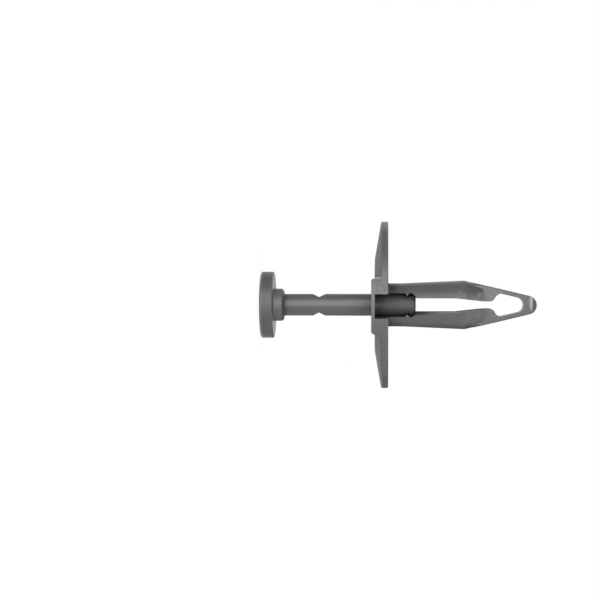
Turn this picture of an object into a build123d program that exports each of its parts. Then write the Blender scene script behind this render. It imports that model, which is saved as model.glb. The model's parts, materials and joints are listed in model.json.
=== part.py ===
from build123d import *
import os
from math import cos, radians, sin, sqrt, tan

os.makedirs("parts", exist_ok=True)

# A two-piece plastic push rivet, in millimetres. The rivet stands on the head of its push pin:
# Z runs up the pin, through the flange and along the legs to the tip. The pin is drawn out, as
# supplied. Pushed home, it slides along +Z until its collar seats on the flange.
# X points from leg to leg, and the pry ridge on the flange runs towards -Y.

# Push pin
head_diameter = 10.0
head_thickness = 1.95
head_edge_radius = 0.3
head_back_chamfer = 0.15
dish_diameter = 9.1
dish_depth = 0.4
collar_diameter = 4.9
collar_length = 1.5
collar_chamfer = 0.3
shank_diameter = 3.3
shank_root_chamfer = 0.15
notch_depth = 0.5
notch_width = 1.94
notch_bottom_radius = 0.15
latch_play = 0.15
foot_width = 2.76
foot_reach = 4.1  # how far the drawn pin's foot stands past the back of the flange
foot_chamfer = 0.3
pin_travel = 13.2

# Flange
flange_diameter = 25.0
rim_thickness = 1.05
rim_edge_radius = 0.2
rim_back_chamfer = 0.15
cone_angle = 9.7
pad_thickness = 2.0
hub_thickness = 2.45
band_width = 6.9
ridge_top_width = 7.7
ridge_draft = 21.0
ridge_edge_radius = 0.4
roof_thickness = 0.5
channel_width = 3.5

# Legs
stem_length = 22.1
root_diameter = 6.5
grip_length = 2.15  # straight length under the flange, for the panel
hump_diameter = 7.3
hump_height = 11.4
tip_angle = 13.3
web_height = 14.05
web_width = 4.2
web_envelope = 6.8  # the web's corners stay inside this circle
web_taper_height = 16.9
web_edge_radius = 0.2
nose_width = 2.5
nose_edge_radius = 1.0
nose_edge_rise = 0.25  # how far above the tip the rounds on the nose's flat sides would meet it
web_draft = 7.0  # the web's flat sides fall away from the middle, towards both legs

# Slot between the legs, with the keyhole eye at its end
pin_clearance = 0.075
slot_width = 2.04
throat_start = 10.1
throat_width = 1.1
throat_length = 1.2
shoulder_length = 0.8
eye_length = 3.9
eye_wall = 0.65
tip_thickness = 1.9
lip_radius = 0.7
eye_corner_radius = 1.0
window_width = 3.6  # the slot is this wide at its root, on the side of the pry ridge
window_length = 3.55
flare_end = 9.5
flare_depth = 1.3
nib_height = 2.82
nib_width = 0.66
nib_depth = 0.43

# Heights along the pin
collar_end = head_thickness + collar_length
seat = collar_end + pin_travel
flange_back = seat + hub_thickness
latch_notch = flange_back + nib_height + latch_play
home_notch = flange_back + nib_height - pin_travel
pin_tip = flange_back + foot_reach
stem_tip = flange_back + stem_length
eye_end = stem_tip - tip_thickness
eye_start = eye_end - eye_length
throat_end = eye_start - shoulder_length

# Radii and half widths
head_r = head_diameter / 2
dish_r = dish_diameter / 2
collar_r = collar_diameter / 2
shank_r = shank_diameter / 2
flange_r = flange_diameter / 2
hub_r = flange_r - (hub_thickness - rim_thickness) / tan(radians(cone_angle))
root_r = root_diameter / 2
hump_r = hump_diameter / 2
web_r = web_width / 2
bore_r = shank_r + pin_clearance
window_r = window_width / 2
slot_r = slot_width / 2
throat_r = throat_width / 2


def leg_half_width(height):
    """Half width over both legs at a height on their taper to the tip."""
    return hump_r - (height - flange_back - hump_height) * tan(radians(tip_angle))


def end_radius(half_width):
    """Radius of a full round that ends a taper whose sides are this far out at its end."""
    return half_width * cos(radians(tip_angle)) / (1 - sin(radians(tip_angle)))


# ---------------------------------------------------------------- push pin
with BuildPart() as push_pin:
    with BuildSketch(Plane.XZ):
        with BuildLine():
            TangentArc((0, dish_depth), (dish_r, 0), tangent=(1, 0))
            Polyline(
                (dish_r, 0),
                (head_r, 0),
                (head_r, head_thickness),
                (collar_r, head_thickness),
                (collar_r, collar_end - collar_chamfer),
                (collar_r - collar_chamfer, collar_end),
                (shank_r, collar_end),
                (shank_r, pin_tip - foot_chamfer),
                (shank_r - foot_chamfer, pin_tip),
                (0, pin_tip),
                (0, dish_depth),
            )
        make_face()
    revolve(axis=Axis.Z)

    # Opposite V notches: the pair by the foot holds the pin drawn out, the other holds it home
    for notch in (home_notch, latch_notch):
        with BuildSketch(Plane.XZ):
            with BuildLine():
                Polyline(
                    (shank_r - notch_depth, notch),
                    (shank_r + notch_depth, notch + notch_width),
                    (shank_r + notch_depth, notch - notch_width),
                    close=True,
                )
            make_face()
            mirror(about=Plane.YZ)
        extrude(amount=shank_r, both=True, mode=Mode.SUBTRACT)

    # Flats on the foot, in line with the notches
    with BuildSketch(Plane.XY.offset(latch_notch)):
        Circle(shank_diameter)
        Rectangle(foot_width, 2 * shank_diameter, mode=Mode.SUBTRACT)
    extrude(amount=pin_tip - latch_notch, mode=Mode.SUBTRACT)

    notch_bottoms = push_pin.edges().filter_by(Axis.Y).filter_by(
        lambda edge: abs(abs(edge.center().X) - shank_r + notch_depth) < notch_bottom_radius / 10
    )
    fillet(notch_bottoms, notch_bottom_radius)
    circles = push_pin.edges().filter_by(GeomType.CIRCLE)
    head_rims = circles.filter_by(lambda edge: edge.radius == head_r).sort_by(Axis.Z)
    shank_rims = circles.filter_by(lambda edge: edge.radius == shank_r).sort_by(Axis.Z)
    fillet(head_rims[0], head_edge_radius)
    chamfer(head_rims[-1], head_back_chamfer)
    chamfer(shank_rims[0], shank_root_chamfer)
push_pin.part.label = "push_pin"
export_step(push_pin.part, "parts/push_pin.step")

# ---------------------------------------------------------------- tip of the legs
# A web with flat sides and a full round nose, which tapers both ways. Its lower end is inside
# the round stem, so only its corners come out of the stem's taper.
nose_r = end_radius(leg_half_width(stem_tip))
nose_side = nose_r * cos(radians(tip_angle))
nose_start = stem_tip - nose_r * (1 - sin(radians(tip_angle)))
with BuildPart() as tip_web:
    with BuildSketch(Plane.XZ):
        with BuildLine():
            Polyline(
                (-nose_side, nose_start),
                (-hump_r, flange_back + hump_height),
                (hump_r, flange_back + hump_height),
                (nose_side, nose_start),
            )
            RadiusArc((nose_side, nose_start), (-nose_side, nose_start), -nose_r)
        make_face()
    extrude(amount=web_r, both=True)
    # A quarter of the web, drawn in its middle plane and swept sideways at the draft angle
    with BuildPart(mode=Mode.PRIVATE) as web_quarters:
        with BuildSketch(Plane.YZ) as web_side:
            with BuildLine():
                Polyline(
                    (0, flange_back + hump_height),
                    (web_r, flange_back + hump_height),
                    (web_r, flange_back + web_taper_height),
                    (nose_width / 2, stem_tip + nose_edge_rise),
                    (0, stem_tip + nose_edge_rise),
                    close=True,
                )
            make_face()
            fillet(web_side.vertices().group_by(Axis.Y)[-1].sort_by(Axis.X)[-1], nose_edge_radius)
        extrude(amount=hump_diameter, dir=(1, -tan(radians(web_draft)), 0))
        mirror(about=Plane.XZ)
        mirror(about=Plane.YZ)
    add(web_quarters.part, mode=Mode.INTERSECT)
    with BuildSketch(Plane.XY.offset(flange_back + hump_height)):
        Circle(web_envelope / 2)
    extrude(amount=stem_length, mode=Mode.INTERSECT)
    web_edges = tip_web.edges().filter_by_position(
        Axis.Z, flange_back + hump_height, stem_tip, (False, True)
    )
    fillet(web_edges.filter_by(lambda edge: edge.bounding_box().size.X > web_edge_radius), web_edge_radius)

# ---------------------------------------------------------------- pry ridge on the flange
ridge_base_width = ridge_top_width + 2 * hub_thickness * tan(radians(ridge_draft))
with BuildPart() as pry_ridge:
    with BuildSketch(Plane.XZ) as ridge_section:
        with BuildLine():
            Polyline(
                (ridge_top_width / 2, seat),
                (ridge_base_width / 2, flange_back),
                (-ridge_base_width / 2, flange_back),
                (-ridge_top_width / 2, seat),
                close=True,
            )
        make_face()
        fillet(ridge_section.vertices().group_by(Axis.Y)[0], ridge_edge_radius)
    extrude(amount=flange_diameter)
    with BuildSketch(Plane.XY.offset(seat)):
        Circle(flange_r)
    extrude(amount=hub_thickness, mode=Mode.INTERSECT)

# ---------------------------------------------------------------- rivet body
with BuildPart() as rivet_body:
    # Shallow conical flange with a flat hub
    with BuildSketch(Plane.XZ) as flange_section:
        with BuildLine():
            Polyline(
                (0, flange_back),
                (flange_r, flange_back),
                (flange_r, flange_back - rim_thickness),
                (hub_r, seat),
                (0, seat),
                close=True,
            )
        make_face()
        rim_corners = flange_section.vertices().group_by(Axis.X)[-1]
        fillet(rim_corners.sort_by(Axis.Y)[0], rim_edge_radius)
    revolve(axis=Axis.Z)
    # Crescent pads, lower than the hub, either side of the band that crosses it
    with BuildSketch(Plane.XY.offset(flange_back - pad_thickness)):
        Circle(flange_r)
        with Locations((0, flange_r / 2)):
            Rectangle(band_width, flange_diameter / 2, mode=Mode.SUBTRACT)
        with Locations((0, -flange_r / 2)):
            Rectangle(ridge_top_width, flange_diameter / 2, mode=Mode.SUBTRACT)
    extrude(amount=-hub_thickness, mode=Mode.SUBTRACT)
    add(pry_ridge.part)
    chamfer(rivet_body.faces().sort_by(Axis.Z)[-1].edges(), rim_back_chamfer)

    # Round stem that swells to the hump, then tapers
    with BuildSketch(Plane.XZ):
        with BuildLine():
            Polyline(
                (0, flange_back),
                (root_r, flange_back),
                (root_r, flange_back + grip_length),
                (hump_r, flange_back + hump_height),
                (leg_half_width(flange_back + web_height), flange_back + web_height),
                (0, flange_back + web_height),
                close=True,
            )
        make_face()
    revolve(axis=Axis.Z)
    add(tip_web.part)

    # Slot between the legs, narrowing to the throat, then the keyhole eye
    eye_offset = eye_wall / cos(radians(tip_angle))
    eye_r = end_radius(leg_half_width(eye_end) - eye_offset)
    eye_side = (eye_r * cos(radians(tip_angle)), eye_end - eye_r * (1 - sin(radians(tip_angle))))
    with BuildSketch(Plane.XZ) as slot_outline:
        with BuildLine():
            Polyline(
                (0, eye_end),
                (0, flange_back),
                (slot_r, flange_back),
                (slot_r, flange_back + throat_start),
                (throat_r, throat_end - throat_length),
                (throat_r, throat_end),
                (leg_half_width(eye_start) - eye_offset, eye_start),
                eye_side,
            )
            RadiusArc(eye_side, (0, eye_end), -eye_r)
        make_face()
        for height, radius in ((throat_end, lip_radius), (eye_start, eye_corner_radius)):
            corner = slot_outline.vertices().filter_by(
                lambda vertex: abs(vertex.Y - height) < eye_wall / 10
            )
            fillet(corner, radius)
        mirror(about=Plane.YZ)
    extrude(amount=hump_diameter, both=True, mode=Mode.SUBTRACT)

    # Window at the root of the slot, on the side of the pry ridge
    window_end = flange_back + window_length
    with BuildSketch(Plane.XZ):
        with BuildLine():
            Polyline(
                (window_r, flange_back),
                (window_r, window_end),
                (slot_r, window_end + window_r - slot_r),
                (-slot_r, window_end + window_r - slot_r),
                (-window_r, window_end),
                (-window_r, flange_back),
                close=True,
            )
        make_face()
    extrude(amount=hump_diameter, mode=Mode.SUBTRACT)
    # The lip of the slot flares towards the window, on one leg
    with BuildSketch(Plane.XY.offset(window_end)):
        with BuildLine():
            Polyline(
                (0, -flare_depth), (slot_r, -flare_depth), (window_r, -hump_r), (0, -hump_r), close=True
            )
        make_face()
    with BuildSketch(Plane.XY.offset(flange_back + flare_end)):
        with BuildLine():
            Polyline(
                (0, -flare_depth), (slot_r, -flare_depth), (slot_r, -hump_r), (0, -hump_r), close=True
            )
        make_face()
    loft(ruled=True, mode=Mode.SUBTRACT)

    # Nibs that snap into the pin's notches
    nib_root = window_r + nib_depth
    with BuildSketch(Plane.XZ):
        with BuildLine():
            Polyline(
                (window_r - nib_depth, flange_back + nib_height),
                (nib_root, flange_back + nib_height + nib_width),
                (nib_root, flange_back + nib_height - nib_width),
                close=True,
            )
        make_face()
        mirror(about=Plane.YZ)
    extrude(amount=sqrt(root_r**2 - nib_root**2))

    # Bore for the pin, as far as the eye, and the channel that opens into it
    with BuildSketch(Plane.XY.offset(seat)):
        Circle(bore_r)
    extrude(amount=eye_start - seat, mode=Mode.SUBTRACT)
    bore_mouth = rivet_body.edges().filter_by(GeomType.CIRCLE).filter_by(
        lambda edge: edge.radius == bore_r and abs(edge.center().Z - seat) < pin_clearance
    )
    chamfer(bore_mouth, shank_root_chamfer)  # clears the root of the shank
    with BuildSketch(Plane.XY.offset(seat + roof_thickness)):
        with Locations((0, -flange_r / 2)):
            Rectangle(channel_width, flange_r)
    extrude(amount=hub_thickness - roof_thickness, mode=Mode.SUBTRACT)
rivet_body.part.label = "rivet_body"
export_step(rivet_body.part, "parts/rivet_body.step")
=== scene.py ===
"""Gives a two-piece plastic push rivet its moulded finish, with painted shade and highlights, and
sets it on a plain studio floor.
"""

import json
from math import cos, pi, radians, sin

import bpy
from bpy.props import FloatProperty, FloatVectorProperty, PointerProperty
from bpy.types import Operator, Panel, PropertyGroup
from mathutils import Matrix, Vector


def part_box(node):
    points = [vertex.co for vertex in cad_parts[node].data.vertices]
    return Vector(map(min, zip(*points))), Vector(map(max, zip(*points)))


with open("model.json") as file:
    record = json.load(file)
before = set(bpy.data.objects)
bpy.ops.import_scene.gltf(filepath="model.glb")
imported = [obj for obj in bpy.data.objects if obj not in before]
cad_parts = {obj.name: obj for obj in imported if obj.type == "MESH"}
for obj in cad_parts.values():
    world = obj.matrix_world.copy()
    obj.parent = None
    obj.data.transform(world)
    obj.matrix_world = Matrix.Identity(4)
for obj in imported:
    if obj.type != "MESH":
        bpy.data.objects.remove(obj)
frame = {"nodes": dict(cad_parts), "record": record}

bl_info = {
    "name": "Push Rivet",
    "version": (1, 0, 0),
    "blender": (4, 5, 0),
    "location": "View3D > Sidebar > Push Rivet",
    "description": "Moulded finish and studio for a two-piece plastic push rivet",
    "category": "Object",
}

MM = 0.001

# Heights that the finish and the camera follow, in metres: the legs' tip, their widest place and the
# narrow end of their slot, and the flange's back
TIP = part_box("rivet_body")[1][2]
FLANGE_BACK = next(
    mount["pos_m"][2] for mount in frame["record"]["mounts"] if mount["name"] == "panel_face"
)
HUMP = FLANGE_BACK + 10.5 * MM
THROAT = FLANGE_BACK + 14.0 * MM

# Middle of the ejector pin's ring on the ridge's end
RING_X = -2.6 * MM
RING_Z = FLANGE_BACK - 1.13 * MM

# Sizes of the noises in the plastic, and how far its tone swings either side of its colour
MOTTLE_SIZE = 2.5 * MM
STREAK_WIDTH = 0.4 * MM
STREAK_HEIGHT = 0.002 * MM
SCUFF_SIZE = 0.7 * MM
DARK_TONE = 0.88
LIGHT_TONE = 1.9

# Studio: how far off the lamps and the flags stand, the flags' height, half the floor's width, how
# far it lies below the head, and how much less it glows near the rivet
LAMP_DISTANCE = 0.6
FLAG_DISTANCE = 0.65
FLAG_HEIGHT = 0.7
FLOOR_REACH = 1.5
FLOOR_DROP = 0.05 * MM
FLOOR_SHADE = 0.14

# Where the camera stands along the rivet, and the place that it looks at
CAMERA_Z = FLANGE_BACK - 0.45 * MM
CAMERA_AIM = Vector((-0.7125 * MM, 0.0, FLANGE_BACK - 13.28 * MM))


# ---------------------------------------------------------------- shader maths
class Wire:
    """An output socket of a shader tree. Arithmetic on it adds the Math nodes that do it."""

    def __init__(self, socket):
        self.socket = socket

    @staticmethod
    def node(tree, kind, settings=None, inputs=None, output=0):
        """Adds a node, with its settings first and then its inputs, and gives one of its outputs."""
        made = tree.nodes.new(kind)
        for name, value in (settings or {}).items():
            setattr(made, name, value)
        for key, value in (inputs or {}).items():
            if isinstance(value, Wire):
                tree.links.new(value.socket, made.inputs[key])
            else:
                made.inputs[key].default_value = value
        return Wire(made.outputs[output]) if made.outputs else None

    def math(self, operation, *others):
        """A Math node whose first value is this socket."""
        values = dict(enumerate((self, *others)))
        return Wire.node(self.socket.id_data, "ShaderNodeMath", {"operation": operation}, values)

    def ease(self, low, high):
        """0 below low and 1 above high, with a soft step between them."""
        return Wire.node(
            self.socket.id_data,
            "ShaderNodeMapRange",
            {"interpolation_type": "SMOOTHSTEP"},
            {"Value": self, "From Min": low, "From Max": high},
        )

    def band(self, start, full, fading, end):
        """0 up to start, 1 from full to fading and 0 again from end, with soft steps between."""
        return self.ease(start, full) * (1 - self.ease(fading, end))

    def __add__(self, other):
        return self.math("ADD", other)

    def __sub__(self, other):
        return self.math("SUBTRACT", other)

    def __rsub__(self, other):
        tree = self.socket.id_data
        return Wire.node(tree, "ShaderNodeMath", {"operation": "SUBTRACT"}, {0: other, 1: self})

    def __mul__(self, other):
        return self.math("MULTIPLY", other)

    __radd__ = __add__
    __rmul__ = __mul__


# ---------------------------------------------------------------- settings
class PlasticSettings(PropertyGroup):
    """Colour and surface of the moulded plastic."""

    body_color: FloatVectorProperty(
        name="Body", description="Plastic of the flange and legs", subtype="COLOR",
        size=4, min=0.0, max=1.0, default=(0.084, 0.084, 0.086, 1.0),
    )
    pin_color: FloatVectorProperty(
        name="Pin", description="Plastic of the push pin", subtype="COLOR",
        size=4, min=0.0, max=1.0, default=(0.080, 0.080, 0.082, 1.0),
    )
    # Pale colour of whitened plastic, also used for painted highlights
    pale_and_glint_color: FloatVectorProperty(
        name="Blush", description="Plastic that was cut or bent until it whitened", subtype="COLOR",
        size=4, min=0.0, max=1.0, default=(0.36, 0.36, 0.37, 1.0),
    )
    # Colour of the painted shade in corners and where the marks paint shade
    painted_shade_color: FloatVectorProperty(
        name="Grime", description="Dirt that has settled in the corners", subtype="COLOR",
        size=4, min=0.0, max=1.0, default=(0.004, 0.004, 0.004, 1.0),
    )
    body_roughness: FloatProperty(
        name="Body Roughness", description="Mean roughness of the flange and legs", subtype="FACTOR",
        min=0.0, max=1.0, default=0.36,
    )
    pin_roughness: FloatProperty(
        name="Pin Roughness", description="Mean roughness of the push pin", subtype="FACTOR",
        min=0.0, max=1.0, default=0.33,
    )
    grain_size: FloatProperty(
        name="Grain", description="Width of the spark-eroded grain", unit="LENGTH",
        min=0.00002, max=0.001, default=0.00012,
    )
    grain_depth: FloatProperty(
        name="Grain Depth", description="Height of the spark-eroded grain", unit="LENGTH",
        min=0.0, max=0.0001, default=0.000002,
    )
    # How far the painted shade reaches out of the corners
    painted_shade_reach: FloatProperty(
        name="Grime Reach", description="How far dirt spreads out of the corners", unit="LENGTH",
        min=0.0, max=0.01, default=0.004,
    )
    edge_radius: FloatProperty(
        name="Edge Radius", description="Rounding that the light shows on the sharp edges",
        unit="LENGTH", min=0.0, max=0.0005, default=0.00009,
    )


class StageSettings(PropertyGroup):
    """Camera, lamps and background."""

    distance: FloatProperty(
        name="Distance", description="From the camera to the rivet's axis", unit="LENGTH",
        min=0.05, default=0.230,
    )
    view_width: FloatProperty(
        name="View Width", description="Width that the frame covers at the rivet", unit="LENGTH",
        min=0.01, default=0.09036,
    )
    lift: FloatProperty(
        name="Lift", description="How far the camera stands over towards -X", subtype="ANGLE",
        default=radians(1.2),
    )
    key_radiance: FloatProperty(
        name="Key", description="Radiance of the long softbox in front", min=0.0, default=3.8,
    )
    fill_radiance: FloatProperty(
        name="Fill", description="Radiance of the wide panel beside the key", min=0.0, default=0.7,
    )
    side_radiance: FloatProperty(
        name="Side", description="Radiance of the panel at the side", min=0.0, default=0.8,
    )
    strip_radiance: FloatProperty(
        name="Strip", description="Radiance of the low strip near the rivet", min=0.0, default=13.0,
    )
    back_radiance: FloatProperty(
        name="Back", description="Radiance of the panel high up behind", min=0.0, default=2.0,
    )
    top_radiance: FloatProperty(
        name="Top", description="Radiance of the panel overhead", min=0.0, default=1.4,
    )
    ambient: FloatProperty(
        name="Ambient", description="Strength of the even light from all round", min=0.0, default=0.3,
    )


# ---------------------------------------------------------------- plastic
def axes(tree, place):
    """The x, y and z of a place, in metres."""
    x = Wire.node(tree, "ShaderNodeSeparateXYZ", inputs={"Vector": place})
    return x, Wire(x.socket.node.outputs["Y"]), Wire(x.socket.node.outputs["Z"])


def span(a, b):
    """How far a place lies from a middle that it is a and b away from."""
    return (a * a + b * b).math("SQRT")


def noise(tree, place, width, stretch=(1.0, 1.0, 1.0), detail=3.0):
    """Noise of about that width in metres, drawn out where stretch is below 1. From -0.5 to 0.5."""
    drawn = Wire.node(
        tree, "ShaderNodeVectorMath", {"operation": "MULTIPLY"}, {0: place, 1: stretch},
    )
    made = Wire.node(
        tree, "ShaderNodeTexNoise", inputs={
            "Vector": drawn, "Scale": 1 / width, "Detail": detail, "Roughness": 0.6,
        },
    )
    return made - 0.5


def body_marks(tree, place, scuffs):
    """Marks on the flange and legs. They run from 0 to 1, and their height is in metres."""
    x, y, z = axes(tree, place)
    rise = z - FLANGE_BACK
    # Pale band across the tip, both a whitened gate vestige and a painted highlight, with painted
    # shade on the crown past it
    vestige_and_glint = (z + scuffs * (0.3 * MM)).ease(TIP - 1.15 * MM, TIP - 1.0 * MM)
    vestige_and_glint *= 1 - (z + scuffs * (0.2 * MM)).ease(TIP - 0.72 * MM, TIP - 0.62 * MM)
    vestige_and_glint *= 1 - (x + scuffs * (0.8 * MM)).ease(0.2 * MM, 1.0 * MM)
    crown_shade = (z + scuffs * (0.2 * MM)).ease(TIP - 0.65 * MM, TIP - 0.4 * MM)
    # Shallow ring that an ejector pin left on the ridge's end
    ring = span(x - RING_X, z - RING_Z).band(0.5 * MM, 0.6 * MM, 0.62 * MM, 0.74 * MM)
    ring *= 1 - y.ease(-8 * MM, -7 * MM)
    # The legs are rubbed where the pin spreads them and where they pass through their hole
    middle = 1 - x.math("ABSOLUTE").ease(1.7 * MM, 2.3 * MM)
    throat = z.band(THROAT - 2 * MM, THROAT, THROAT + 3 * MM, THROAT + 4 * MM) * middle
    hump = z.band(HUMP - 2.5 * MM, HUMP, HUMP + 3 * MM, HUMP + 5 * MM)
    rubbed = hump * scuffs.ease(0.04, 0.16) * 0.8 + throat * scuffs.ease(-0.04, 0.12) * 1.5
    # Painted glint on one upper edge of the ridge
    ridge_glint = (x + scuffs * (0.4 * MM)).ease(-4.4 * MM, -4.2 * MM) * (1 - x.ease(-4.0 * MM, -3.85 * MM))
    ridge_glint *= rise.ease(-2.4 * MM, -2.2 * MM)
    ridge_glint *= 1 - (rise + scuffs * (0.6 * MM)).ease(-1.4 * MM, -1.1 * MM)
    ridge_glint *= 1 - y.ease(-12 * MM, -11 * MM)
    # The flange's back is matt where it bears on the panel, and so is its cone
    seat = rise.band(-0.15 * MM, -0.05 * MM, 0.1 * MM, 0.3 * MM)
    cone = 1 - rise.ease(-1.1 * MM, -0.95 * MM)
    cone *= y.ease(-12.2 * MM, -11.8 * MM)
    return {
        "pale_and_glint": vestige_and_glint * 0.75 + rubbed * 0.14 + ring * 0.04 + ridge_glint * 0.6,
        "painted_shade": crown_shade * 0.5,
        "unshaded": 0.0,
        "rough": rubbed * 0.12 + vestige_and_glint * 0.15 + seat * 0.3 + cone * 0.2,
        "height": ring * (-0.02 * MM),
    }


def pin_marks(tree, place, scuffs):
    """Marks on the push pin. They run from 0 to 1, and their height is in metres."""
    x, y, z = axes(tree, place)
    # The foot is rubbed matt in its bore and darkened as painted shade, and the rim of the head is
    # lightened as a painted highlight on its front edge
    foot = z.ease(FLANGE_BACK - 2.5 * MM, FLANGE_BACK - 0.5 * MM)
    rim_highlight = z.ease(0.04 * MM, 0.12 * MM) * (1 - (z + scuffs * (0.1 * MM)).ease(0.26 * MM, 0.4 * MM))
    rim_highlight *= span(x, y).ease(4.3 * MM, 4.6 * MM)
    head = 1 - z.ease(3.4 * MM, 4.0 * MM)
    collar = z.band(1.6 * MM, 1.9 * MM, 3.2 * MM, 3.4 * MM)
    # Painted shadow of the collar, darkening the shank where it leaves the collar
    collar_shadow = z.ease(3.4 * MM, 3.6 * MM) * (1 - (z + scuffs * (0.6 * MM)).ease(3.8 * MM, 4.2 * MM))
    # Painted light and shade: the collar is lightened as a painted highlight, the head's disc is
    # darkened as painted shade, and the head is kept out of the painted corner shade
    return {
        "pale_and_glint": rim_highlight * 0.3 + collar * 0.07,
        "painted_shade": foot * 0.15 + collar_shadow * 0.4 + (head - collar).math("MAXIMUM", 0.0) * 0.18,
        "unshaded": head,
        "rough": foot * 0.3 + head * 0.06,
        "height": foot * scuffs * (0.004 * MM),
    }


def plastic(name, color, roughness, settings, marks):
    """Moulded plastic with a fine grain, faint flow streaks, softened edges, painted shade in its
    corners and a piece's marks.
    """
    material = bpy.data.materials.new(name)
    material.use_nodes = True
    tree = material.node_tree
    tree.nodes.clear()

    place = Wire.node(tree, "ShaderNodeTexCoord", output="Object")
    grain = noise(tree, place, settings.grain_size, detail=2.0)
    mottle = noise(tree, place, MOTTLE_SIZE)
    streaks = noise(tree, place, STREAK_WIDTH, stretch=(1.0, 1.0, 0.12))
    scuffs = noise(tree, place, SCUFF_SIZE, detail=5.0)
    mark = marks(tree, place, scuffs)

    # 1 on sharp edges, where the rounded normal leaves the true one
    true_normal = Wire.node(tree, "ShaderNodeNewGeometry", output="Normal")
    soft_normal = Wire.node(
        tree, "ShaderNodeBevel", {"samples": 6}, {"Radius": settings.edge_radius},
    )
    alike = Wire.node(
        tree, "ShaderNodeVectorMath", {"operation": "DOT_PRODUCT"},
        {0: true_normal, 1: soft_normal}, output="Value",
    )
    edge = (1 - alike).ease(0.0, 0.12)

    # Painted shade: 1 deep in corners, which the piece's own faces close off
    open_air = Wire.node(
        tree, "ShaderNodeAmbientOcclusion", {"samples": 8, "only_local": True},
        {"Distance": settings.painted_shade_reach}, output="AO",
    )
    corner = 1 - open_air.ease(0.3, 1.0)

    # Edges are lighter: worn edges and a painted edge highlight
    shade = mottle * 0.22 + streaks * 0.18 + edge * (0.3 + scuffs * 0.5) + 0.15
    tone = Wire.node(
        tree, "ShaderNodeMix", {"data_type": "RGBA"},
        {
            "Factor": shade.math("MAXIMUM", 0.0),
            "A": (*[DARK_TONE * part for part in color[:3]], 1.0),
            "B": (*[LIGHT_TONE * part for part in color[:3]], 1.0),
        },
        output="Result",
    )
    # Mixes in pale, whitened marks and painted highlights
    paled_and_glinted = Wire.node(
        tree, "ShaderNodeMix", {"data_type": "RGBA"},
        {"Factor": mark["pale_and_glint"], "A": tone, "B": settings.pale_and_glint_color}, output="Result",
    )
    # Painted shade: darkens the colour deep in corners, away from unshaded parts, and where the marks
    # paint shade
    with_painted_shade = Wire.node(
        tree, "ShaderNodeMix", {"data_type": "RGBA"},
        {
            "Factor": corner * (1 - mark["unshaded"]) * 0.7 + mark["painted_shade"],
            "A": paled_and_glinted,
            "B": settings.painted_shade_color,
        },
        output="Result",
    )
    wear = mottle * 0.16 + grain * 0.1 - edge * 0.05 + mark["rough"]
    height = grain * settings.grain_depth + streaks * STREAK_HEIGHT + mark["height"]
    bumped = Wire.node(
        tree, "ShaderNodeBump", inputs={
            "Strength": 1.0, "Distance": 1.0, "Height": height, "Normal": soft_normal,
        },
    )
    skin = Wire.node(
        tree, "ShaderNodeBsdfPrincipled", inputs={
            "Base Color": with_painted_shade, "Roughness": wear + roughness, "Normal": bumped,
            "IOR": 1.5, "Specular IOR Level": 0.45,
        },
    )
    Wire.node(tree, "ShaderNodeOutputMaterial", inputs={"Surface": skin})
    return material


def dress(node, material):
    """Puts the material on every slot of a CAD node."""
    mesh = frame["nodes"][node].data
    mesh.materials.clear()
    mesh.materials.append(material)


# ---------------------------------------------------------------- stage
def view_ray(tree):
    """1 for a ray from the camera or one that a shiny or clear surface sends on, otherwise 0."""
    path = Wire.node(tree, "ShaderNodeLightPath")
    glossy = Wire(path.socket.node.outputs["Is Glossy Ray"])
    clear = Wire(path.socket.node.outputs["Is Transmission Ray"])
    return (path + glossy + clear).math("MINIMUM", 1.0)


def panel_lamp(name, place, aim, size, radiance):
    """A soft rectangular panel of that radiance, facing its aim. The camera doesn't see it."""
    data = bpy.data.lights.new(name, "AREA")
    data.shape = "RECTANGLE"
    data.size, data.size_y = size
    data.energy = radiance * pi * size[0] * size[1]
    lamp = bpy.data.objects.new(name, data)
    lamp.location = place
    lamp.rotation_euler = (Vector(aim) - Vector(place)).to_track_quat("-Z", "Y").to_euler()
    lamp.visible_camera = False
    bpy.context.scene.collection.objects.link(lamp)


def round_about(angle, distance, height):
    """A place round the rivet, at an angle from -Y towards -X."""
    return Vector((-distance * sin(radians(angle)), -distance * cos(radians(angle)), height))


def standing_panel(name, angle, width, low, high, radiance, distance=LAMP_DISTANCE):
    """An upright panel of light from low to high over the floor, which faces the rivet."""
    middle = (low + high) / 2
    place = round_about(angle, distance, middle)
    panel_lamp(name, place, (0, 0, middle), (width, high - low), radiance)


# ---------------------------------------------------------------- operators
class RIVET_OT_body(Operator):
    """Finish the flange and legs in moulded plastic"""

    bl_idname = "rivet.body"
    bl_label = "Rivet Body"

    def execute(self, context):
        settings = context.scene.rivet_plastic
        skin = plastic(
            "body_plastic", settings.body_color, settings.body_roughness, settings, body_marks
        )
        dress("rivet_body", skin)
        return {"FINISHED"}


class RIVET_OT_pin(Operator):
    """Finish the push pin in moulded plastic"""

    bl_idname = "rivet.pin"
    bl_label = "Push Pin"

    def execute(self, context):
        settings = context.scene.rivet_plastic
        skin = plastic("pin_plastic", settings.pin_color, settings.pin_roughness, settings, pin_marks)
        dress("push_pin", skin)
        return {"FINISHED"}


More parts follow.
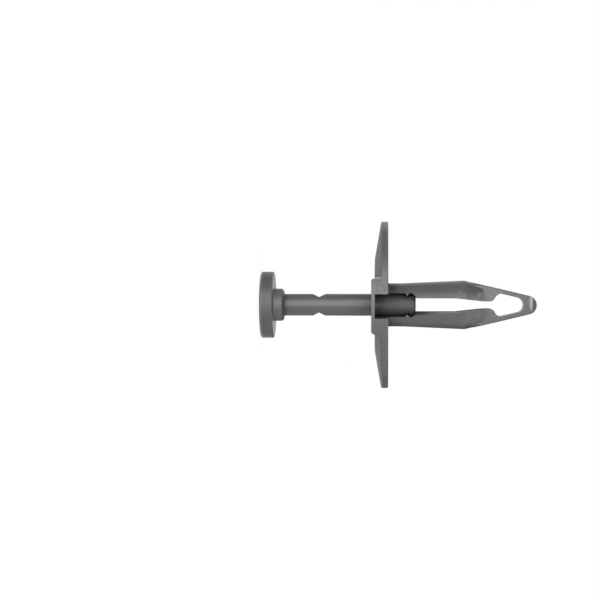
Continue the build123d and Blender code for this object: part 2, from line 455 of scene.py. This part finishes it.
class RIVET_OT_stage(Operator):
    """Add the floor, the lamps, the background and the camera"""

    bl_idname = "rivet.stage"
    bl_label = "Stage"

    def execute(self, context):
        stage = context.scene.rivet_stage
        self.floor(context, stage)
        self.flag(context, "studio_flag_left", 95.0, 0.8)
        self.flag(context, "studio_flag_right", -140.0, 0.6)
        self.background(context, stage)
        standing_panel("key_softbox", 18.0, 0.74, 0.0, 0.26, stage.key_radiance)
        standing_panel("low_strip", 22.0, 0.16, 0.0005, 0.0075, stage.strip_radiance, distance=0.13)
        standing_panel("fill_panel", -20.0, 1.0, 0.0, 0.4, stage.fill_radiance)
        standing_panel("side_panel", -80.0, 0.42, 0.0, 0.4, stage.side_radiance)
        standing_panel("back_panel", 180.0, 0.5, 0.3, 0.7, stage.back_radiance)
        panel_lamp("top_panel", (0.0, 0.0, 0.8), (0, 0, 0), (0.8, 0.8), stage.top_radiance)
        self.camera(context, stage)
        return {"FINISHED"}

    def sheet(self, context, name, corners):
        """A flat sheet of the studio, and the empty node tree of its material."""
        mesh = bpy.data.meshes.new(name)
        mesh.from_pydata(corners, [], [(0, 1, 2, 3)])
        sheet = bpy.data.objects.new(name, mesh)
        context.scene.collection.objects.link(sheet)
        material = bpy.data.materials.new(name)
        material.use_nodes = True
        material.node_tree.nodes.clear()
        mesh.materials.append(material)
        return sheet, material.node_tree

    def flag(self, context, name, angle, width):
        """A black flag beside the rivet, which keeps the outline on that side dark."""
        middle = round_about(angle, FLAG_DISTANCE, 0.0)
        aside = round_about(angle + 90.0, width / 2, 0.0)
        rise = Vector((0.0, 0.0, FLAG_HEIGHT))
        corners = [middle - aside, middle + aside, middle + aside + rise, middle - aside + rise]
        flag, tree = self.sheet(context, name, corners)
        flag.visible_camera = False
        cloth = Wire.node(tree, "ShaderNodeBsdfDiffuse", inputs={"Color": (0.01, 0.01, 0.01, 1.0)})
        Wire.node(tree, "ShaderNodeOutputMaterial", inputs={"Surface": cloth})

    def floor(self, context, stage):
        """A wide pale floor that keeps the rivet's shadow and hides nothing from below."""
        ways = [(-1, -1), (1, -1), (1, 1), (-1, 1)]
        corners = [(x * FLOOR_REACH, y * FLOOR_REACH, -FLOOR_DROP) for x, y in ways]
        tree = self.sheet(context, "studio_floor", corners)[1]
        place = Wire.node(tree, "ShaderNodeTexCoord", output="Object")
        far = Wire.node(
            tree, "ShaderNodeVectorMath", {"operation": "LENGTH"}, {0: place}, output="Value",
        )
        near = 1 - far.ease(0.1, 0.5)
        black = Wire.node(tree, "ShaderNodeBsdfDiffuse", inputs={"Color": (0.0, 0.0, 0.0, 1.0)})
        pale = Wire.node(tree, "ShaderNodeBsdfDiffuse", inputs={"Color": (0.25, 0.25, 0.25, 1.0)})
        lit = Wire.node(tree, "ShaderNodeMixShader", inputs={"Fac": near, 1: black, 2: pale})
        seen = view_ray(tree)
        white = seen * (1 - near * FLOOR_SHADE) + (1 - seen) * stage.ambient
        bright = Wire.node(tree, "ShaderNodeEmission", inputs={"Strength": 1.0})
        glow = Wire.node(tree, "ShaderNodeMixShader", inputs={"Fac": white, 1: black, 2: bright})
        top = Wire.node(tree, "ShaderNodeAddShader", inputs={0: lit, 1: glow})
        geometry = Wire.node(tree, "ShaderNodeNewGeometry")
        underside = Wire(geometry.socket.node.outputs["Backfacing"])
        clear = Wire.node(tree, "ShaderNodeBsdfTransparent")
        sheet = Wire.node(tree, "ShaderNodeMixShader", inputs={"Fac": underside, 1: top, 2: clear})
        Wire.node(tree, "ShaderNodeOutputMaterial", inputs={"Surface": sheet})

    def background(self, context, stage):
        """White to the camera and to reflections, and a gentler even light for the rest."""
        world = bpy.data.worlds.new("studio")
        world.use_nodes = True
        tree = world.node_tree
        tree.nodes.clear()
        color = (1.0, 1.0, 1.0, 1.0)
        white = Wire.node(tree, "ShaderNodeBackground", inputs={"Color": color, "Strength": 1.0})
        even = Wire.node(
            tree, "ShaderNodeBackground", inputs={"Color": color, "Strength": stage.ambient},
        )
        sky = Wire.node(
            tree, "ShaderNodeMixShader", inputs={"Fac": view_ray(tree), 1: even, 2: white},
        )
        Wire.node(tree, "ShaderNodeOutputWorld", inputs={"Surface": sky})
        context.scene.world = world
        context.scene.view_settings.view_transform = "Standard"

    def camera(self, context, stage):
        """Looks along +Y with the pin's head to the left and the tip of the legs to the right."""
        data = bpy.data.cameras.new("camera")
        data.lens = data.sensor_width * stage.distance / stage.view_width
        data.clip_start = 0.001
        camera = bpy.data.objects.new("camera", data)
        context.scene.collection.objects.link(camera)
        place = Vector((0.0, 0.0, CAMERA_Z))
        place -= stage.distance * Vector((sin(stage.lift), cos(stage.lift), 0.0))
        ahead = (CAMERA_AIM - place).normalized()
        right = ahead.cross(Vector((-1, 0, 0))).normalized()
        up = right.cross(ahead)
        turn = Matrix((right, up, -ahead)).transposed().to_4x4()
        camera.matrix_world = Matrix.Translation(place) @ turn
        context.scene.camera = camera


class RIVET_PT_panel(Panel):
    """Push rivet settings and steps"""

    bl_idname = "RIVET_PT_panel"
    bl_label = "Push Rivet"
    bl_space_type = "VIEW_3D"
    bl_region_type = "UI"
    bl_category = "Push Rivet"

    def draw(self, context):
        for group in (context.scene.rivet_plastic, context.scene.rivet_stage):
            box = self.layout.box()
            for name in group.__annotations__:
                box.prop(group, name)
        for step in STEPS:
            self.layout.operator(step.bl_idname)


STEPS = (RIVET_OT_body, RIVET_OT_pin, RIVET_OT_stage)
CLASSES = (PlasticSettings, StageSettings, *STEPS, RIVET_PT_panel)


def register():
    for cls in CLASSES:
        bpy.utils.register_class(cls)
    bpy.types.Scene.rivet_plastic = PointerProperty(type=PlasticSettings)
    bpy.types.Scene.rivet_stage = PointerProperty(type=StageSettings)


def unregister():
    del bpy.types.Scene.rivet_stage
    del bpy.types.Scene.rivet_plastic
    for cls in reversed(CLASSES):
        bpy.utils.unregister_class(cls)


def main():
    """Runs every step in order."""
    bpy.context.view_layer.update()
    register()
    bpy.ops.rivet.body()
    bpy.ops.rivet.pin()
    bpy.ops.rivet.stage()


if __name__ == "__main__":
    main()
